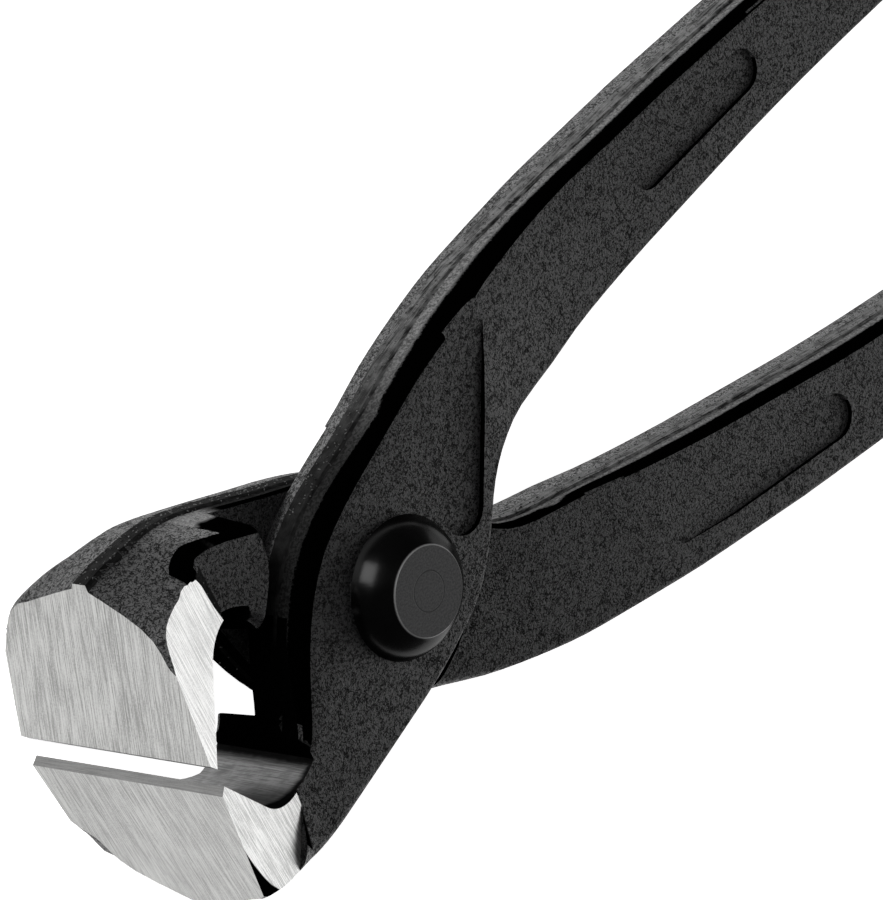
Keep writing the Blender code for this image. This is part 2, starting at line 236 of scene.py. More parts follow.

# %% [markdown]
# ## Heights noted on the corners
#
# Just above the strip the wall is torn and carries a painted grey sheen, and further up a painted
# shade turns it black. That border follows the strip, which climbs and falls, so each corner of the
# mesh gets two numbers that a material can read: how far up the wall it lies, from 0 at the strip
# to 1 where the flat leaf begins, and how far it is from the strip. Both come from the nearest
# corner on those borders, looked up in a tree of places. Along the handles the strip runs level,
# and the height alone gives a cleaner line.

# %% Note the heights
handle_start = head_reach * 1.4
strip_level = jaw_width * 0.0417
wall_level = jaw_width * 0.1466


def border_tree(mesh, corners):
    """The corners of a border in a tree that finds the nearest one quickly."""
    tree = KDTree(len(corners))
    for index in corners:
        tree.insert(mesh.vertices[index].co, index)
    tree.balance()
    return tree


def note_heights(mesh, kinds):
    """Note on every corner how far up the wall it lies and how far from the strip it is."""
    touching = [set() for vertex in mesh.vertices]
    for face in mesh.polygons:
        for index in face.vertices:
            touching[index].add(kinds[face.index])
    strip_tree, leaf_tree = (
        border_tree(mesh, [index for index, around in enumerate(touching) if border <= around])
        for border in ({STRIP}, {SKIN, SHADE})
    )
    heights = []
    distances = []
    for vertex in mesh.vertices:
        from_strip = strip_tree.find(vertex.co)[2]
        from_leaf = leaf_tree.find(vertex.co)[2]
        height = from_strip / max(from_strip + from_leaf, merge_distance)
        if vertex.co.x - pivot.x > handle_start:
            height = (abs(vertex.co.z - pivot.z) - strip_level) / (wall_level - strip_level)
        heights.append(height)
        distances.append(from_strip)
    mesh.attributes.new("up_the_wall", "FLOAT", "POINT").data.foreach_set("value", heights)
    mesh.attributes.new("from_strip", "FLOAT", "POINT").data.foreach_set("value", distances)


print("the wall above the strip is", round((wall_level - strip_level) * 1000, 1), "mm high")

# %% [markdown]
# All the tests come together here. Each face gets the number of its surface, and the borders of the
# ground and milled faces are kept sharp, while everything else is shaded smooth.

# %% Mark the surfaces of both halves
wall_lean = 0.35
sheen_wall_start = jaw_start * 0.6
sharp_angle = math.radians(26)


def mark_surfaces(piece, turn):
    """Give every face of a half the number of its surface and keep the borders crisp."""
    mesh = piece.data
    neighbours = {}
    for face in mesh.polygons:
        for key in face.edge_keys:
            neighbours.setdefault(key, set()).add(face.index)
    kinds = [surface_kind(face, turn) for face in mesh.polygons]
    band, below = strip_faces(mesh, neighbours)
    band = [index for index in band if kinds[index] in (SKIN, SHADE)]
    for index in band:
        kinds[index] = STRIP
    strip_centres = [mesh.polygons[index].center for index in band]
    for face in mesh.polygons:
        behind_joint = face.center.x - pivot.x
        wall = abs(face.normal.z) < wall_lean and behind_joint > jaw_start
        # Walls above the strip that turn away, and walls below it behind the jaws, get the skin with
        # a painted sheen; the others get the wall's painted shade.
        if kinds[face.index] == SKIN and wall and above_strip(face, strip_centres):
            kinds[face.index] = SHADE if face.normal.y > away_facing else LOW
        elif kinds[face.index] == SKIN and wall and face.index in below:
            kinds[face.index] = LOW if behind_joint > sheen_wall_start else SHADE
    note_heights(mesh, kinds)
    mesh.polygons.foreach_set("material_index", kinds)
    mesh.polygons.foreach_set("use_smooth", [True] * len(kinds))
    mesh.set_sharp_from_angle(angle=sharp_angle)
    cut = {FRONT, SIDE, BEVEL, MILLED}
    for edge in mesh.edges:
        meeting = {kinds[index] for index in neighbours[edge.key]}
        if len(meeting) > 1 and meeting & cut:
            edge.use_edge_sharp = True
    print(piece.name, {kind: kinds.count(kind) for kind in sorted(set(kinds))})


mark_surfaces(halves["upper"], 1)
mark_surfaces(halves["lower"], -1)

# %% [markdown]
# ## Writing materials as sums
#
# A node material is arithmetic drawn as boxes. These two small classes let the arithmetic be
# written as it is thought: a `Value` is one output in the material, and adding or multiplying
# values adds the Math nodes. `Finish` holds one material and adds every other kind of node.

# %% Values that can be added and multiplied


class Value:
    """One output of a material, on which plain arithmetic works."""

    def __init__(self, finish, socket):
        self.finish = finish
        self.socket = socket

    def math(self, operation, *others):
        """Any other kind of Math node."""
        return self.finish.add("ShaderNodeMath", {"operation": operation}, [self, *others])

    def __add__(self, other):
        return self.math("ADD", other)

    __radd__ = __add__

    def __mul__(self, other):
        return self.math("MULTIPLY", other)

    __rmul__ = __mul__

    def __sub__(self, other):
        return self.math("SUBTRACT", other)

    def __rsub__(self, other):
        return self.finish.add("ShaderNodeMath", {"operation": "SUBTRACT"}, [other, self])

    def larger(self, other):
        """Whichever of two values is the larger one at a point."""
        return self.math("MAXIMUM", other)

    def between(self, low, high):
        """0 below the low value, 1 above the high one, and a soft step between them."""
        settings = {"interpolation_type": "SMOOTHSTEP"}
        sockets = {"Value": self, "From Min": low, "From Max": high}
        return self.finish.add("ShaderNodeMapRange", settings, sockets)


print("a value knows +, -, * and", [name for name in vars(Value) if not name.startswith("_")])

# %% A material that nodes are added to


class Finish:
    """One material and the means to add nodes to it."""

    def __init__(self, name):
        self.material = bpy.data.materials.new(name)
        self.material.use_nodes = True
        self.tree = self.material.node_tree
        self.shader = self.tree.nodes["Principled BSDF"]

    def add(self, kind, settings, sockets, output=0):
        """Add a node, set it, then fill its sockets with numbers or values."""
        node = self.tree.nodes.new(kind)
        for name, setting in settings.items():
            setattr(node, name, setting)
        pairs = sockets.items() if isinstance(sockets, dict) else enumerate(sockets)
        for name, content in pairs:
            if isinstance(content, Value):
                self.tree.links.new(content.socket, node.inputs[name])
            else:
                node.inputs[name].default_value = content
        return Value(self, node.outputs[output])

    def vector(self, operation, sockets, output="Vector"):
        """Arithmetic on places and directions."""
        return self.add("ShaderNodeVectorMath", {"operation": operation}, sockets, output)

    def place(self):
        """Where a point lies on the tool."""
        return self.add("ShaderNodeTexCoord", {}, {}, "Object")

    def from_joint(self, where):
        """Where a place lies as seen from the joint."""
        return self.vector("SUBTRACT", [where, pivot])

    def scaled(self, where, sizes):
        """The place with each of its directions stretched or squeezed."""
        return self.vector("MULTIPLY", [where, sizes])

    def length(self, where):
        """How far away a place is."""
        return self.vector("LENGTH", [where], "Value")

    def length_along(self, where, direction):
        """How far a place lies along a direction."""
        return self.vector("DOT_PRODUCT", [where, direction], "Value")

    def noted(self, name):
        """A number that is noted on the corners of the mesh."""
        return self.add("ShaderNodeAttribute", {"attribute_name": name}, {}, "Fac")

    def noise(self, where, scale, detail=3.0, rough=0.5):
        """Cloudy noise around one half whose lumps are about 1 / scale metres wide."""
        sockets = {"Vector": where, "Scale": scale, "Detail": detail, "Roughness": rough}
        return self.add("ShaderNodeTexNoise", {}, sockets)

    def mix(self, share, one, two):
        """A colour that goes from one to two as the share goes from 0 to 1."""
        node = self.tree.nodes.new("ShaderNodeMix")
        node.data_type = "RGBA"
        ends = {"A_Color": one, "B_Color": two, "Factor_Float": share}
        for socket in node.inputs:
            content = ends.get(socket.identifier)
            if isinstance(content, Value):
                self.tree.links.new(content.socket, socket)
            elif content is not None:
                socket.default_value = content if socket.type == "VALUE" else (*content, 1.0)
        mixed = [socket for socket in node.outputs if socket.identifier == "Result_Color"][0]
        return Value(self, mixed)

    def relief(self, height, depth, below=None):
        """A bump of the given depth in metres, on top of another one if it is given."""
        sockets = {"Height": height, "Distance": depth, "Strength": 1.0}
        if below is not None:
            sockets["Normal"] = below
        return self.add("ShaderNodeBump", {}, sockets)

    def under(self, share, tone):
        """Let a dull dark surface show through where the share is 1, as in a crack, a pit or a
        painted shade.
        """
        deep = self.tree.nodes.new("ShaderNodeBsdfPrincipled")
        deep.inputs["Base Color"].default_value = (*tone, 1.0)
        deep.inputs["Roughness"].default_value = 0.9
        deep.inputs["Specular IOR Level"].default_value = 0.0
        blend = self.tree.nodes.new("ShaderNodeMixShader")
        self.tree.links.new(share.socket, blend.inputs["Fac"])
        self.tree.links.new(self.shader.outputs["BSDF"], blend.inputs[1])
        self.tree.links.new(deep.outputs["BSDF"], blend.inputs[2])
        shown = self.tree.nodes["Material Output"].inputs["Surface"]
        self.tree.links.new(blend.outputs["Shader"], shown)

    def surface(self, **inputs):
        """Fill the shader's own sockets; an underscore in a name stands for a space."""
        for name, content in inputs.items():
            socket = self.shader.inputs[name.replace("_", " ")]
            if isinstance(content, Value):
                self.tree.links.new(content.socket, socket)
            elif socket.type == "RGBA":
                socket.default_value = (*content, 1.0)
            else:
                socket.default_value = content
        print(self.material.name, "has", len(self.tree.nodes), "nodes")
        return self.material


def grey(tone):
    """A colour without a tint."""
    return (tone, tone, tone)


print("a finish knows", [name for name in vars(Finish) if not name.startswith("_")])

# %% [markdown]
# ## The forging skin
#
# Hot steel pressed in a die is left with scale, and the black bath that follows keeps its fine hair
# cracks visible. Three layers make it: soft lumps a few millimetres wide, short hair cracks whose
# net is bent by noise, and a fine grain. The cracks are the edges of small cells, kept only in
# places, so that they stay short and loose and never close into a net. A crack or a pit sends back
# no light at all, so a second dull surface is mixed in there.

# %% Cracks, lumps and grain
crack_size = 0.00062
crack_width = 0.10
lump_size = 0.0030
grain_size = 0.00030
crack_depth = 0.00008
lump_depth = 0.00012
grain_depth = 0.00014


def cracks_on(finish, where, size, share):
    """Short hair cracks, 1 in a crack and 0 beside it; the share says how many there are."""
    clouds = {"Vector": where, "Scale": 0.9 / size, "Detail": 3.0}
    bend = finish.add("ShaderNodeTexNoise", {}, clouds, "Color")
    pull = finish.vector("SCALE", {0: bend, "Scale": size * 2.4})
    bent = {"Vector": finish.vector("ADD", [where, pull]), "Scale": 1 / size}
    cells = finish.add("ShaderNodeTexVoronoi", {"feature": "DISTANCE_TO_EDGE"}, bent)
    kept = finish.noise(where, 1.3 / size, detail=2.0).between(0.62 - share, 0.70 - share)
    return (1 - cells.between(0.0, crack_width)) * kept


def skin_parts(finish, where):
    """The hair cracks, lumps and grain of a forging skin."""
    fine = cracks_on(finish, where, crack_size, 0.20)
    coarse = cracks_on(finish, where, crack_size * 2.2, 0.10)
    lumps = finish.noise(where, 1 / lump_size, detail=5.0, rough=0.6)
    grain = finish.noise(where, 1 / grain_size, detail=4.0, rough=0.62)
    return fine.larger(coarse), lumps, grain


print("cracks every", crack_size * 1000, "mm and lumps every", lump_size * 1000, "mm")

# %% Forging skin
pit_size = 0.00020
skin_tone = (0.0056, 0.0056, 0.0058)
sheen_tone = (0.026, 0.026, 0.0263)
hollow_shade_tone = grey(0.0003)
# The tone of cracks and pits, which also stands in for painted shade.
pit_and_shade_tone = grey(0.0006)
shade_tone = grey(0.0002)
grain_light = 4.0
crack_share = 0.88
pit_share = 0.80


def forging_skin(name, tone, gloss, rough):
    """Black forging scale with hair cracks."""
    finish = Finish(name)
    where = finish.place()
    cracks, lumps, grain = skin_parts(finish, where)
    light = tuple(value * grain_light for value in tone)
    colour = finish.mix((lumps * 0.3 + grain * 0.7).between(0.38, 0.62), tone, light)
    fine = finish.noise(where, 1 / pit_size, detail=2.0)
    pits = (fine * 0.6 + grain * 0.4).between(0.50, 0.59)
    finish.under((cracks * crack_share).larger(pits * pit_share), pit_and_shade_tone)
    normal = finish.relief(lumps, lump_depth)
    normal = finish.relief(1 - cracks, crack_depth, normal)
    normal = finish.relief(grain, grain_depth, normal)
    return finish.surface(
        Base_Color=colour, Roughness=rough + grain * 0.12, Specular_IOR_Level=gloss, Normal=normal
    )


skin = forging_skin("forging_skin", skin_tone, gloss=0.69, rough=0.34)
# The hollow's finish is a painted shade: skin so dark and dull that it sends back almost nothing.
hollow_painted_shade = forging_skin("painted_shade_of_the_hollow", hollow_shade_tone, gloss=0.0, rough=0.55)
# This lighter skin is a painted sheen, for the light these walls catch from the floor.
sheen_skin = forging_skin("forging_skin_with_painted_sheen", sheen_tone, gloss=0.62, rough=0.36)

# %% [markdown]
# ## The wall above the strip
#
# The wall between the strip and the leaf is torn, with a painted grey sheen at its foot and painted
# deep shade above. The number noted on the corners says how far up a point is, and the grain frays
# the border. Near the joint the painted shade covers the whole wall, and the sheen fades in behind
# it. The roof of the upper jaw is the same wall seen from outside, so beside the strip it keeps the
# painted sheen and no painted shade.

# %% Wall skin
fade_start = 0.0
fade_end = head_reach * 0.56
roof_end = -head_reach * 0.33
roof_soft = head_reach * 0.08
roof_reach = jaw_width * 0.11
# The wall's greys are a painted sheen, far lighter than the black skin elsewhere.
wall_sheen_dark = grey(0.060)
wall_sheen_bright = grey(0.190)


def joint_distance(finish, where):
    """How far a place lies behind the joint, along the handles."""
    return finish.length_along(finish.from_joint(where), (1.0, 0.0, 0.0))


def wall_skin(name, roof=False):
    """A painted grey sheen where the torn wall meets the strip, painted deep shade under the leaf.
    """
    finish = Finish(name)
    where = finish.place()
    cracks, lumps, grain = skin_parts(finish, where)
    # Painted shade: up the wall from the noted height, and over the whole wall near the joint.
    deep = (finish.noted("up_the_wall") + (grain - 0.5) * 0.25).between(0.24, 0.38)
    behind_joint = joint_distance(finish, where)
    hidden = deep.larger((1 - behind_joint.between(fade_start, fade_end)) * 0.9)
    # On the roof beside the strip the painted shade is lifted, so the painted sheen shows.
    if roof:
        from_strip = finish.noted("from_strip") + (lumps - 0.5) * roof_reach * 0.5
        roof_keeps_sheen = 1 - from_strip.between(roof_reach * 0.7, roof_reach)
        on_roof = behind_joint.between(jaw_start - roof_soft, jaw_start)
        on_roof = on_roof * (1 - behind_joint.between(roof_end - roof_soft, roof_end))
        hidden = hidden * (1 - roof_keeps_sheen * on_roof)
    finish.under(hidden.larger(cracks * 0.5), shade_tone)
    colour = finish.mix(grain.between(0.40, 0.60), wall_sheen_dark, wall_sheen_bright)
    normal = finish.relief(lumps, lump_depth)
    normal = finish.relief(grain, grain_depth * 1.6, normal)
    return finish.surface(
        Base_Color=colour, Roughness=0.45 + grain * 0.1, Specular_IOR_Level=0.4, Normal=normal
    )


wall_shade_and_sheen_skin = wall_skin("forging_skin_above_the_strip_with_painted_sheen_and_shade")
roof_shade_and_sheen_skin = wall_skin("forging_skin_of_the_jaw_roof_with_painted_sheen_and_shade", roof=True)

# %% [markdown]
# ## The trimmed strip
#
# Flash is the thin rim of steel that squeezes out between the dies. Cutting it off tears the skin,
# so the strip shows fine cracks that run along the edge. They are noise with quick changes across
# the strip and slow ones along it, which needs no direction: the strip always runs level. In the
# window behind the cutting edges the strip of the upper half gets a painted shade, as it is out of
# the light there.

# %% Trimmed strip
tear_length = 0.0032
tear_width = 0.00016
tear_depth = 0.00020
clod_scale = 900.0
clod_depth = 0.00012
strip_dark = grey(0.018)
strip_light = grey(0.110)
strip_ends = {"upper": -head_reach * 0.2, "lower": -head_reach * 2.0}


def trimmed_strip(name, hidden_end):
    """Torn grey-black steel where the flash was cut off, darker near the joint, painted shade in the
    window.
    """
    finish = Finish(name)
    where = finish.place()
    stretched = finish.scaled(where, (1 / tear_length, 1 / tear_length, 1 / tear_width))
    tears = finish.noise(stretched, 1.0, detail=4.0, rough=0.62)
    clods = finish.noise(where, clod_scale)
    shade = (tears * 0.6 + clods * 0.4).between(0.42, 0.60)
    torn = 1 - (tears * 0.7 + clods * 0.3).between(0.34, 0.50)
    behind_joint = joint_distance(finish, where)
    near_joint = (1 - behind_joint.between(fade_start, fade_end)) * (0.62 + tears * 0.45)
    # Painted shade on the strip in the window behind the cutting edges.
    in_window = 1 - behind_joint.between(hidden_end - roof_soft * 3, hidden_end)
    finish.under((torn * 0.75).larger(near_joint).larger(in_window), pit_and_shade_tone)
    normal = finish.relief(tears, tear_depth)
    normal = finish.relief(clods, clod_depth, normal)
    return finish.surface(
        Base_Color=finish.mix(shade, strip_dark, strip_light), Roughness=0.42 + tears * 0.2,
        Specular_IOR_Level=0.4, Normal=normal
    )


strip_upper = trimmed_strip("trimmed_strip_of_the_upper_half", strip_ends["upper"])
strip_lower = trimmed_strip("trimmed_strip_of_the_lower_half", strip_ends["lower"])

# %% [markdown]
# ## Lines left by a tool
#
# A grinding belt and a mill both leave fine parallel lines. They are noise that is stretched: quick
# changes across the tool's path and slow ones along it. Each face was held at its own angle, so the
# direction is given to the function, and it has to lie in the face, or the lines come out short.

# %% Drawn-out lines
line_width = 0.000065
line_length = 0.0036
line_depth = 0.000006
unlike_any_path = Vector((1.0, 0.3, 0.2))


def line_pattern(finish, where, along, width, length):
    """Noise that is drawn out along a direction."""
    along = Vector(along).normalized()
    side = along.cross(unlike_any_path).normalized()
    ways = ((side, width), (along.cross(side), width), (along, length))
    lines_at = [finish.length_along(where, way) * (1 / size) for way, size in ways]
    stretched = finish.add("ShaderNodeCombineXYZ", {}, lines_at)
    return finish.noise(stretched, 1.0, detail=1.5, rough=0.6)


print("lines", line_width * 1000, "mm wide and", line_length * 1000, "mm long")

# %% [markdown]
# ## The milled mouth
#
# A mill cut the hollow of the mouth upright, so its lines run along the cutter. The wall is bright
# in its middle. Its upper border and the rim at the leaf look black, because the other half stands
# over them, and a soft step on the distance along a direction puts that shade there.

# %% Milled steel
border_start = -head_reach * 0.540
border_soft = jaw_width * 0.045
milled_cloud_scale = 900.0
milled_dark = grey(0.12)
milled_light = grey(0.27)


def milled_steel(name, turn):
    """The milled wall of the mouth: black along its upper border and at the leaf."""
    finish = Finish(name)
    where = finish.place()
    lines = line_pattern(finish, where, (0.0, 0.0, 1.0), line_width, line_length)
    clouds = finish.noise(where, milled_cloud_scale)
    colour = finish.mix((lines * 0.7 + clouds * 0.3).between(0.41, 0.58), milled_dark, milled_light)
    away = finish.from_joint(where)
    toward_border = finish.length_along(away, (0.53, 0.85 * turn, 0.0))
    toward_border = toward_border + (clouds - 0.5) * border_soft * 0.4
    under_leaf = finish.length_along(away, (0.0, 0.0, turn)) + (clouds - 0.5) * border_soft * 0.6
    shade = toward_border.between(border_start, border_start + border_soft)
    rim = under_leaf.between(leaf_level - border_soft, leaf_level - border_soft * 0.2)
    finish.under((shade * 0.98).larger(rim * 0.96), pit_and_shade_tone)
    normal = finish.relief(lines, line_depth)
    return finish.surface(
        Base_Color=colour, Roughness=0.30 + lines * 0.1, Metallic=0.7, Normal=normal
    )


mouth_of_lower_jaw = milled_steel("milled_mouth_of_the_lower_jaw", 1)
mouth_of_upper_jaw = milled_steel("milled_mouth_of_the_upper_jaw", -1)

# %% [markdown]
# ## Ground steel
#
# The belt's lines come in two widths, with broad clouds and a fine grit between them. The belt never
# reached the corner between the front and the side of the lower jaw, which keeps a wedge of black
# skin. On the side face the ground area ends at a border made of two arcs, so the distances from
# the middles of those circles make the mask.

# %% Ground steel
side_circles = (((-0.660, -0.254), 0.318), ((-0.288, -0.039), 0.708))
corner_start = -0.254 * head_reach
corner_soft = 0.00007
broad_width, broad_length = line_width * 3.2, line_length * 2.2
belt_cloud_scale = 240.0
grit_scale = 5200.0
belt_rough = 0.34
belt_metal = 0.9


def left_black(finish, where, clouds):
    """1 on the corner of the lower jaw that the belt didn't reach."""
    away = finish.from_joint(where)
    level = finish.scaled(away, (1.0, 1.0, 0.0))
    past = []
    for (across, up), reach in side_circles:
        centre = (across * head_reach, up * head_reach, 0.0)
        past.append(finish.length(finish.vector("SUBTRACT", [level, centre])) - reach * head_reach)
    over = past[0].larger(past[1]) + (clouds - 0.5) * corner_soft * 5
    past_middle = finish.length_along(away, (0.0, -1.0, 0.0)) + corner_start
    return over.between(-corner_soft, corner_soft) * past_middle.between(0.0, corner_soft * 8)


def ground_steel(name, along, bright, dull, corner=False):
    """Bright ground steel whose lines run along a direction."""
    finish = Finish(name)
    where = finish.place()
    lines = line_pattern(finish, where, along, line_width, line_length)
    broad = line_pattern(finish, where, along, broad_width, broad_length)
    clouds = finish.noise(where, belt_cloud_scale)
    grit = finish.noise(where, grit_scale, detail=2.0)
    shade = lines * 0.56 + broad * 0.20 + clouds * 0.10 + grit * 0.14
    if corner:
        finish.under(left_black(finish, where, clouds), pit_and_shade_tone)
    return finish.surface(
        Base_Color=finish.mix(shade.between(0.41, 0.58), dull, bright),
        Roughness=belt_rough + lines * 0.10, Metallic=belt_metal,
        Normal=finish.relief(lines, line_depth)
    )


# Each ground face gets its own brightness, a painted light and shade for how the lamps fall on it:
# the sides brightest, the fronts about half as bright, the bevel darkest.
front_upper = ground_steel(
    "ground_front_upper_jaw", (0.1945, 1.0, 0.10), (0.485, 0.485, 0.477), (0.225, 0.225, 0.22)
)
front_lower = ground_steel(
    "ground_front_lower_jaw", (0.1945, -1.0, 0.0), (0.450, 0.450, 0.442), (0.23, 0.23, 0.225)
)
side_upper = ground_steel(
    "ground_sides_upper_jaw", (0.0, -1.0, 0.18), (0.98, 0.98, 0.97), (0.56, 0.56, 0.555)
)
side_lower = ground_steel(
    "ground_sides_lower_jaw", (0.35, -1.0, -0.3), (0.86, 0.86, 0.85), (0.42, 0.42, 0.415),
    corner=True
)
edge_ground = ground_steel(
    "ground_edge_bevel", (0.0, 0.0, 1.0), (0.21, 0.21, 0.207), (0.145, 0.145, 0.143)
)

# %% [markdown]
# The upper half carries the lower jaw and the lower half the upper one, so the finishes of the jaws
# change places. The order is that of the surface numbers.

# %% Put the finishes on the halves
finishes = {
    "upper": (front_lower, side_lower, mouth_of_lower_jaw, strip_upper, wall_shade_and_sheen_skin),
    "lower": (front_upper, side_upper, mouth_of_upper_jaw, strip_lower, roof_shade_and_sheen_skin),
}
for half, (front, side, mouth, strip, wall) in finishes.items():
    materials = halves[half].data.materials
    for finish in (skin, front, side, edge_ground, mouth, strip, wall, sheen_skin, hollow_painted_shade):
        materials.append(finish)
    print(half, "half has", len(materials), "finishes")

# %% [markdown]
# ## The rivet
#
# The rivet head is closed by a spinning tool that leaves a smooth black cone, a crisp flat and
# one hairline ring; the cone is darkened further by a painted shade. It is turned here as a new
# piece: half of its outline is drawn once and spun around the joint's axis, with more steps than
# the solid has, so the rim stays round up close.

# %% Draw the rivet's outline
low_rivet, high_rivet = (Vector(corner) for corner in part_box("joint_rivet"))
rivet_top = (high_rivet.z - low_rivet.z) / 2
rivet_radius = (high_rivet.x - low_rivet.x) / 2
rivet_flat = rivet_radius * 0.638
rivet_seat = rivet_top - rivet_radius * 0.482
shank_radius = rivet_radius * 0.567
foot_radius = rivet_radius * 0.985
flank_bulge = rivet_radius * 0.060
flank_steps = 16
rim_round = rivet_radius * 0.016


def rivet_outline():
    """Radius and height along one end of the rivet, from the seat to the middle of the flat."""
    points = [(shank_radius, rivet_seat), (foot_radius, rivet_seat)]
    flank_height = rivet_top - rivet_seat - rim_round * 2
    for step in range(flank_steps + 1):
        share = step / flank_steps
        bulge = flank_bulge * math.sin(math.pi * share)
        radius = rivet_radius + (rivet_flat - rivet_radius) * share + bulge
        points.append((radius, rivet_seat + rim_round + flank_height * share))
    points.append((rivet_flat - rim_round, rivet_top))
    points.append((0.0, rivet_top))
    return points


half_outline = rivet_outline()
outline = list(reversed(half_outline)) + [(radius, -height) for radius, height in half_outline]
print("rivet outline has", len(outline), "points")

# %% Turn the rivet
rivet_turns = 128
rivet_sharp_angle = math.radians(24)
form = bmesh.new()
ring = [form.verts.new((radius, 0.0, height)) for radius, height in outline]
edges = [form.edges.new(pair) for pair in zip(ring, ring[1:])]
bmesh.ops.spin(
    form, geom=ring + edges, cent=(0, 0, 0), axis=(0, 0, 1), angle=math.tau, steps=rivet_turns,
    use_merge=True
)
bmesh.ops.remove_doubles(form, verts=form.verts, dist=merge_distance)
bmesh.ops.recalc_face_normals(form, faces=form.faces)
bmesh.ops.translate(form, verts=form.verts, vec=pivot)
rivet_mesh = bpy.data.meshes.new("joint_rivet_finished")
form.to_mesh(rivet_mesh)
form.free()
rivet = in_scene("joint_rivet_finished", rivet_mesh)
rivet_mesh.polygons.foreach_set("use_smooth", [True] * len(rivet_mesh.polygons))
rivet_mesh.set_sharp_from_angle(angle=rivet_sharp_angle)
print("rivet has", len(rivet_mesh.polygons), "faces")

# %% [markdown]
# The ring and the rim are fine enough to be shading. The distance from the joint's axis is worked
# out from the place of a point, and a narrow step on either side of a radius makes a line there.
# The flat is rubbed a little lighter than the cone, with fine wear in it.

# %% Rivet finish
ring_radius = rivet_flat * 0.44
ring_width = 0.00008
ring_depth = 0.00002
rim_width = 0.00016
turning_scale = 2600.0
turning_depth = 0.000005
cone_cloud_scale = 500.0
wear_scale = 5000.0
cone_dark, cone_light = grey(0.0010), (0.0022, 0.0022, 0.0023)
flat_dark, flat_light = (0.018, 0.018, 0.0185), (0.046, 0.046, 0.047)
ring_tone = grey(0.004)
rim_tone = grey(0.22)


def rivet_black(name):
    """Smooth black steel with a hairline ring and a lighter line around the rim of the flat."""
    finish = Finish(name)
    where = finish.place()
    away = finish.from_joint(where)
    level = finish.scaled(away, (1.0, 1.0, 0.0))
    radius = finish.length(level)
    height = finish.length_along(away, (0.0, 0.0, 1.0)).math("ABSOLUTE")
    on_flat = height.between(rivet_top - rim_round * 1.6, rivet_top - rim_round * 0.4)
    off_ring = (radius - ring_radius).math("ABSOLUTE")
    ring_line = (1 - off_ring.between(ring_width * 0.4, ring_width)) * on_flat
    rim_line = radius.between(rivet_flat - rim_width, rivet_flat - rim_width / 3) * on_flat
    clouds = finish.noise(where, cone_cloud_scale, detail=4.0)
    turning = finish.noise(level, turning_scale, detail=2.0)
    wear = finish.noise(where, wear_scale)
    cone_tone = finish.mix(clouds.between(0.35, 0.65), cone_dark, cone_light)
    flat_tone = finish.mix(wear.between(0.35, 0.65), flat_dark, flat_light)
    colour = finish.mix(on_flat, cone_tone, flat_tone)
    colour = finish.mix(ring_line * 0.8, colour, ring_tone)
    colour = finish.mix(rim_line * 0.8, colour, rim_tone)
    # Painted shade over the cone, so it stays black where it would reflect the bright floor.
    finish.under((1 - on_flat) * 0.60, shade_tone)
    rough = 0.17 + on_flat * 0.20 + clouds * 0.08
    normal = finish.relief(turning, turning_depth)
    normal = finish.relief(1 - ring_line, ring_depth, normal)
    return finish.surface(
        Base_Color=colour, Roughness=rough, Specular_IOR_Level=0.36, Normal=normal
    )


rivet_mesh.materials.append(rivet_black("rivet_black"))

# %% [markdown]
# ## Torn flecks on the trimmed strip
#
# The trimming leaves small raised flecks all along the strip. They are one shape repeated at random
# places on a surface, which is what Geometry Nodes are for: points are scattered on a copy of the
# strip's faces, a small flattened grain is put on each point, and all grains become one plain mesh.

# %% Node tree that scatters grains
fleck_inputs = {
    "Geometry": "NodeSocketGeometry", "Density": "NodeSocketFloat", "Size": "NodeSocketFloat",
    "Seed": "NodeSocketInt",
}
fleck_nodes = {
    "start": "NodeGroupInput", "scatter": "GeometryNodeDistributePointsOnFaces",
    "grain": "GeometryNodeMeshIcoSphere", "turn": "FunctionNodeRandomValue",
    "size": "FunctionNodeRandomValue", "scale": "ShaderNodeVectorMath",
    "place": "GeometryNodeInstanceOnPoints", "real": "GeometryNodeRealizeInstances",
    "paint": "GeometryNodeSetMaterial", "end": "NodeGroupOutput",
}
fleck_links = (
    ("start", "Geometry", "scatter", "Mesh"),
    ("start", "Density", "scatter", "Density"),
    ("start", "Seed", "scatter", "Seed"),
    ("start", "Seed", "turn", "Seed"),
    ("start", "Seed", "size", "Seed"),
    ("size", "Value", "scale", 0),
    ("start", "Size", "scale", "Scale"),
    ("scatter", "Points", "place", "Points"),
    ("grain", "Mesh", "place", "Instance"),
    ("turn", "Value", "place", "Rotation"),
    ("scale", "Vector", "place", "Scale"),
    ("place", "Instances", "real", "Geometry"),
    ("real", "Geometry", "paint", "Geometry"),
    ("paint", "Geometry", "end", "Geometry"),
)


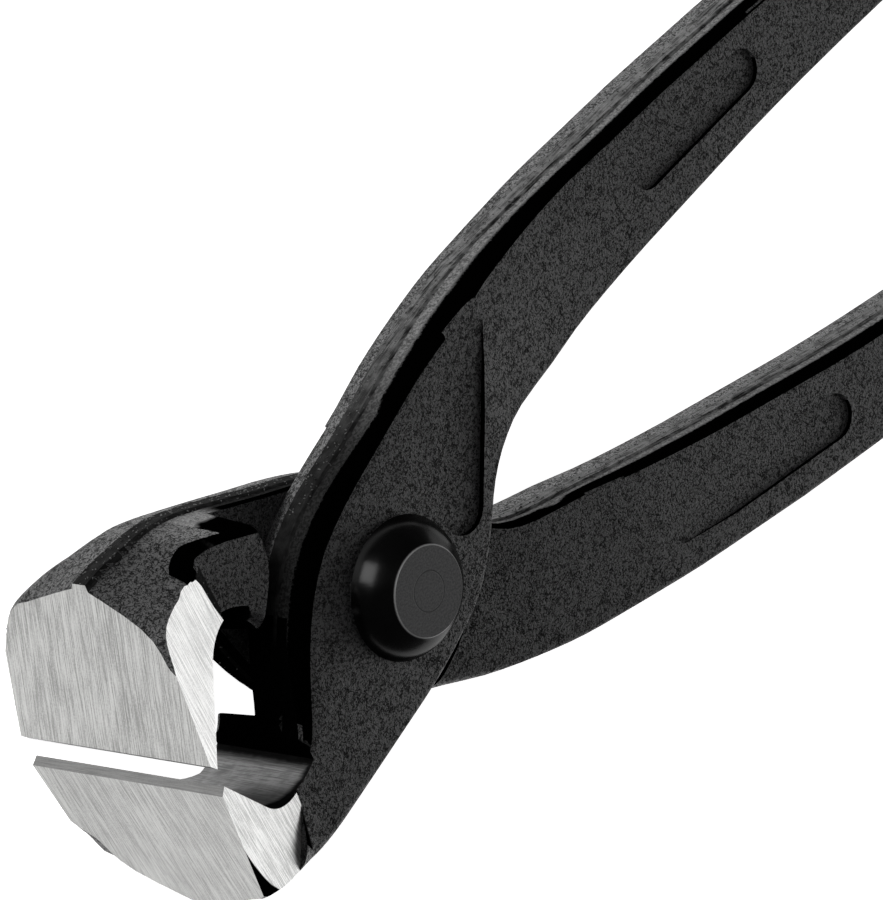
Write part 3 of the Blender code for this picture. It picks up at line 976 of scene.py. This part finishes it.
def fleck_tree(material):
    """Scatter flattened grains over the faces that come in."""
    tree = bpy.data.node_groups.new("torn_flecks", "GeometryNodeTree")
    names = {}
    for name, kind in fleck_inputs.items():
        made = tree.interface.new_socket(name=name, in_out="INPUT", socket_type=kind)
        names[name] = made.identifier
    tree.interface.new_socket(name="Geometry", in_out="OUTPUT", socket_type="NodeSocketGeometry")
    node = {name: tree.nodes.new(kind) for name, kind in fleck_nodes.items()}
    node["turn"].data_type = "FLOAT_VECTOR"
    node["size"].data_type = "FLOAT_VECTOR"
    node["scale"].operation = "SCALE"
    node["turn"].inputs["Max"].default_value = (math.tau, math.tau, math.tau)
    node["size"].inputs["Min"].default_value = (0.5, 0.5, 0.25)
    node["size"].inputs["Max"].default_value = (1.6, 1.0, 0.5)
    node["grain"].inputs["Subdivisions"].default_value = 1
    node["grain"].inputs["Radius"].default_value = 1.0
    node["paint"].inputs["Material"].default_value = material
    for giver, output, taker, socket in fleck_links:
        tree.links.new(node[giver].outputs[output], node[taker].inputs[socket])
    print(tree.name, "has", len(tree.nodes), "nodes and", len(tree.links), "links")
    return tree, names


# %% Scatter the flecks on both halves
fleck_size = 0.00014
fleck_density = 2000000.0
fleck_cloud_scale = 2500.0
fleck_seeds = {"upper": 4, "lower": 9}
torn_steel = Finish("torn_steel_flecks")
torn_tone = torn_steel.noise(torn_steel.place(), fleck_cloud_scale).between(0.35, 0.65)
torn_colour = torn_steel.mix(torn_tone, grey(0.002), grey(0.06))
torn_steel.surface(Base_Color=torn_colour, Roughness=0.4, Specular_IOR_Level=0.5)
scatter_tree, scatter_inputs = fleck_tree(torn_steel.material)


def torn_flecks(half):
    """One plain mesh with all the flecks of a half."""
    source = halves[half].data
    faces = [
        tuple(face.vertices) for face in source.polygons
        if face.material_index == STRIP and face.center.x - pivot.x > strip_ends[half]
    ]
    base_mesh = bpy.data.meshes.new("strip_base")
    base_mesh.from_pydata([vertex.co[:] for vertex in source.vertices], [], faces)
    base = in_scene("strip_base", base_mesh)
    modifier = base.modifiers.new("flecks", "NODES")
    modifier.node_group = scatter_tree
    modifier[scatter_inputs["Density"]] = fleck_density
    modifier[scatter_inputs["Size"]] = fleck_size
    modifier[scatter_inputs["Seed"]] = fleck_seeds[half]
    seen = base.evaluated_get(bpy.context.evaluated_depsgraph_get())
    mesh = bpy.data.meshes.new_from_object(seen)
    bpy.data.objects.remove(base, do_unlink=True)
    mesh.polygons.foreach_set("use_smooth", [True] * len(mesh.polygons))
    mesh.name = f"{half}_half_flecks"
    piece = in_scene(mesh.name, mesh)
    print(piece.name, "from", len(faces), "strip faces has", len(mesh.polygons), "faces")
    return piece


flecks = {half: torn_flecks(half) for half in halves}

# %% [markdown]
# ## Ride and replace
#
# Each finished piece rides on the body it moves with, and the solid it stands in for is hidden.

# %% Tie the pieces to their bodies
for piece, body, node, slot_name in (
    (halves["upper"], "upper_leaf_body", "upper_leaf_half", "forged_steel_upper"),
    (halves["lower"], "lower_leaf_body", "lower_leaf_half", "forged_steel_lower"),
    (rivet, "upper_leaf_body", "joint_rivet", "rivet_steel"),
):
    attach(piece, body)
    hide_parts(node)
    print(piece.name, "rides on", body)
for half, body in (("upper", "upper_leaf_body"), ("lower", "lower_leaf_body")):
    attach(flecks[half], body)

# %% [markdown]
# ## Floor and light
#
# The tool lies on a white light table: the floor is matt white and glows, so the walls that turn to
# it pick up a grey sheen and there is hardly a shadow.

# %% Floor
floor_size = 6.0
floor_glow = 0.92
floor_drop = 0.0002
paper_scale = 3.0
corner = floor_size / 2
floor_mesh = bpy.data.meshes.new("floor")
floor_mesh.from_pydata(
    [(-corner, -corner, 0), (corner, -corner, 0), (corner, corner, 0), (-corner, corner, 0)],
    [], [(0, 1, 2, 3)]
)
floor = in_scene("floor", floor_mesh)
floor.location.z = -floor_drop
paper = Finish("pale_floor")
paper_clouds = paper.noise(paper.place(), paper_scale, detail=2.0)
paper_colour = paper.mix(paper_clouds, grey(0.90), grey(0.92))
floor_mesh.materials.append(paper.surface(
    Base_Color=paper_colour, Roughness=0.9, Specular_IOR_Level=0.1, Emission_Color=grey(1.0),
    Emission_Strength=floor_glow
))

# %% [markdown]
# Black steel mostly shows what it reflects, so the lights are placed for their reflections. One wide
# soft light stands low behind the rivet side of the tool. It makes the sides of the jaws bright and
# gives the flat black faces their even grey, and a weaker one above it fills in. A smaller one in
# front of the jaws leaves the glint on the rivet's cone. The space above stays dark, so rounded
# upper edges turn deep black.

# %% Lights
sky_glow = 0.09
bpy.context.scene.view_settings.view_transform = "Standard"
world = bpy.data.worlds.new("studio")
bpy.context.scene.world = world
world.use_nodes = True
sky = world.node_tree.nodes["Background"]
sky.inputs["Color"].default_value = (1.0, 1.0, 1.0, 1.0)
sky.inputs["Strength"].default_value = sky_glow


def softbox(name, place, width, height, glow):
    """A soft area light that faces the joint; the glow is how bright its face looks."""
    lamp = bpy.data.lights.new(name, "AREA")
    lamp.shape = "RECTANGLE"
    lamp.size = width
    lamp.size_y = height
    lamp.energy = glow * math.pi * width * height
    holder = in_scene(name, lamp)
    holder.location = pivot + Vector(place)
    holder.rotation_euler = (-Vector(place)).to_track_quat("-Z", "Y").to_euler()
    place_now = [round(value, 2) for value in holder.location]
    print(name, "at", place_now, "power", round(lamp.energy, 1))


softbox("behind_light", (0.95, -0.36, 0.34), width=1.35, height=0.62, glow=1.35)
softbox("over_light", (0.62, -0.40, 0.95), width=0.9, height=0.7, glow=0.55)
softbox("front_glint", (-0.57, 0.73, 0.38), width=0.50, height=0.56, glow=8.4)

# %% [markdown]
# ## The camera
#
# The photograph looks down on the leaf from in front of the jaws with a long lens. Its direction
# comes from how far it leans from the joint's axis, which way it leans, how the picture is turned,
# and a last small turn about the joint for how the tool lies in it.

# %% Direction of the camera
lean = math.radians(44.5)
lean_swing = math.radians(7.2)
picture_turn = math.radians(36.9)
pose_turn = math.radians(-0.42)

axis_z = Vector((
    math.sin(lean) * math.cos(lean_swing), -math.sin(lean) * math.sin(lean_swing), math.cos(lean)
))
tilt_line = Vector((
    math.cos(lean) * math.cos(lean_swing), -math.cos(lean) * math.sin(lean_swing), -math.sin(lean)
))
side_line = axis_z.cross(tilt_line)
turned_x = math.cos(picture_turn) * tilt_line + math.sin(picture_turn) * side_line
turned_y = -math.sin(picture_turn) * tilt_line + math.cos(picture_turn) * side_line
axis_x = math.cos(pose_turn) * turned_x + math.sin(pose_turn) * turned_y
axis_y = -math.sin(pose_turn) * turned_x + math.cos(pose_turn) * turned_y
camera_turn = Matrix((axis_x, axis_y, axis_z))
print("toward the viewer", [round(value, 2) for value in camera_turn.col[2]])

# %% [markdown]
# The lens follows from how large the tool appears, and the camera is moved sideways until the middle
# of the rivet's seat lands where the photograph has it.

# %% Lens and place of the camera
picture_width = 883
picture_height = 900
rivet_in_picture = Vector((402.0, 587.5))
pixels_per_metre = 10500.0
camera_distance = 0.9
sensor_width = 36.0

seat_in_camera = camera_turn.transposed() @ Vector((0.0, 0.0, leaf_level))
seat_depth = camera_distance - seat_in_camera.z
focal_pixels = pixels_per_metre * camera_distance
offset = rivet_in_picture - Vector((picture_width / 2, picture_height / 2))
pivot_in_camera = Vector((
    offset.x * seat_depth / focal_pixels - seat_in_camera.x,
    -offset.y * seat_depth / focal_pixels - seat_in_camera.y,
    -camera_distance,
))
camera_data = bpy.data.cameras.new("camera")
camera_data.sensor_fit = "HORIZONTAL"
camera_data.sensor_width = sensor_width
camera_data.lens = focal_pixels / picture_width * sensor_width
camera_data.clip_start = 0.01
camera_data.clip_end = 20.0
camera = in_scene("camera", camera_data)
camera_place = Matrix.Translation(pivot - camera_turn @ pivot_in_camera)
camera.matrix_world = camera_place @ camera_turn.to_4x4()
bpy.context.scene.camera = camera
print("lens", round(camera_data.lens, 1), "mm")

# %% Bring the scene up to date
bpy.context.view_layer.update()
